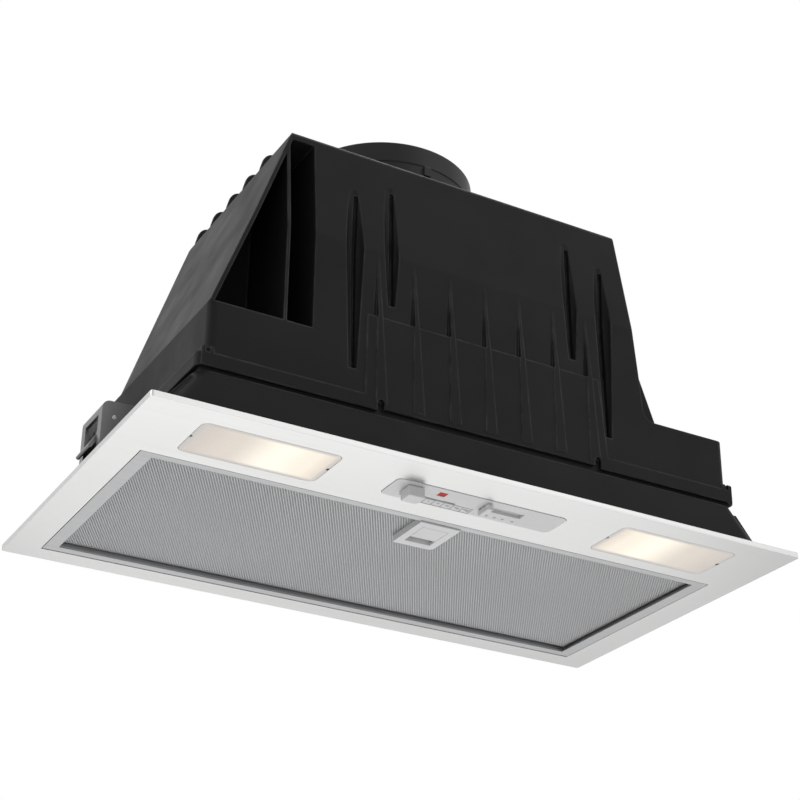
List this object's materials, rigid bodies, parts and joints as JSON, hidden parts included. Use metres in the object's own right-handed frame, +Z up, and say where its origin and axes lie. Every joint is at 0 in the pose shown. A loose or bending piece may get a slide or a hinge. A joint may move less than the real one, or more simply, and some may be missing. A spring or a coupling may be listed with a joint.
{
  "type": "ceiling range hood",
  "caption": "Built-in canopy range hood with a hinged grease filter, slider controls, two lamps, a centrifugal blower and a flapped duct collar.",
  "frame": {"origin": "centre of the cabinet cut-out, in the plane of the cabinet's underside where the panel's rim seats", "axes": "+X along the panel's length to the right seen from the front, +Y to the rear, +Z up towards the duct"},
  "size_m": [0.534, 0.3, 0.3323],
  "materials": {
    "panel_steel": "fine brushed, bright",
    "dark_plastic": "satin moulded black",
    "wheel_plastic": "satin",
    "filter_aluminium": "perforated, matt",
    "frame_aluminium": "satin",
    "grey_plastic": "satin light grey",
    "symbol_grey": "printed",
    "red_lens": "glossy translucent",
    "frosted_lens": "frosted",
    "bulb_glass": "clear",
    "reflector_metal": "polished",
    "lamp_holder": "matt",
    "clip_metal": "zinc-plated, dark",
    "spring_steel": "bright",
    "motor_metal": "galvanised",
    "inner_plastic": "satin"
  },
  "bodies": {
    "hood": {"facia_panel": "panel_steel", "base_tray": "dark_plastic", "fan_housing": "dark_plastic", "duct_collar": "dark_plastic", "scroll": "dark_plastic", "cable_gland": "dark_plastic", "control_plate": "grey_plastic", "control_symbols": "symbol_grey", "indicator_lens": "red_lens", "lamp_lens_left": "frosted_lens", "lamp_lens_right": "frosted_lens", "lamp_bulb_left": "bulb_glass", "lamp_bulb_right": "bulb_glass", "reflector_left": "reflector_metal", "reflector_right": "reflector_metal", "lamp_holder_left": "lamp_holder", "lamp_holder_right": "lamp_holder", "clip_bracket_left": "clip_metal", "clip_bracket_right": "clip_metal", "clip_pin_left": "spring_steel", "clip_pin_right": "spring_steel", "flap_pin": "spring_steel", "collar_screws": "spring_steel", "motor_screws": "spring_steel", "terminal_screws": "spring_steel", "housing_screws": "spring_steel", "motor_body": "motor_metal", "motor_bracket": "motor_metal", "switch_body": "inner_plastic", "terminal_box": "inner_plastic", "terminal_cover": "inner_plastic", "capacitor": "inner_plastic"},
    "filter": {"filter_frame": "frame_aluminium", "filter_mesh": "filter_aluminium", "filter_core": "filter_aluminium", "filter_back": "filter_aluminium", "latch_plate": "grey_plastic"},
    "latch": {"latch_slider": "grey_plastic"},
    "fan_knob": {"fan_slider_knob": "grey_plastic"},
    "light_knob": {"light_slider_knob": "grey_plastic"},
    "wheel": {"impeller": "wheel_plastic", "motor_shaft": "spring_steel"},
    "flap_left_body": {"flap_left": "dark_plastic"},
    "flap_right_body": {"flap_right": "dark_plastic"},
    "pawl_left": {"clip_pawl_left": "clip_metal", "clip_spring_left": "spring_steel"},
    "pawl_right": {"clip_pawl_right": "clip_metal", "clip_spring_right": "spring_steel"}
  },
  "joints": [
    {"name": "filter_hinge", "type": "hinge", "parent": "hood", "child": "filter", "pos_m": [0, 0.124, -0.0016], "axis": [1, 0, 0], "range_deg": [0, 75]},
    {"name": "latch_slide", "type": "slide", "parent": "filter", "child": "latch", "axis": [0, 1, 0], "range_m": [0, 0.006]},
    {"name": "fan_slide", "type": "slide", "parent": "hood", "child": "fan_knob", "axis": [1, 0, 0], "range_m": [0, 0.036]},
    {"name": "light_slide", "type": "slide", "parent": "hood", "child": "light_knob", "axis": [1, 0, 0], "range_m": [0, 0.028]},
    {"name": "wheel_spin", "type": "hinge", "parent": "hood", "child": "wheel", "pos_m": [-0.0207, 0.005, 0.138], "axis": [1, 0, 0], "continuous": true},
    {"name": "flap_left_hinge", "type": "hinge", "parent": "hood", "child": "flap_left_body", "pos_m": [-0.0207, 0, 0.2779], "axis": [0, 1, 0], "range_deg": [0, 75]},
    {"name": "flap_right_hinge", "type": "hinge", "parent": "hood", "child": "flap_right_body", "pos_m": [-0.0207, 0, 0.2779], "axis": [0, -1, 0], "range_deg": [0, 75]},
    {"name": "pawl_left_hinge", "type": "hinge", "parent": "hood", "child": "pawl_left", "pos_m": [-0.245, 0, 0.0418], "axis": [0, -1, 0], "range_deg": [0, 20]},
    {"name": "pawl_right_hinge", "type": "hinge", "parent": "hood", "child": "pawl_right", "pos_m": [0.245, 0, 0.0418], "axis": [0, 1, 0], "range_deg": [0, 20]}
  ]
}
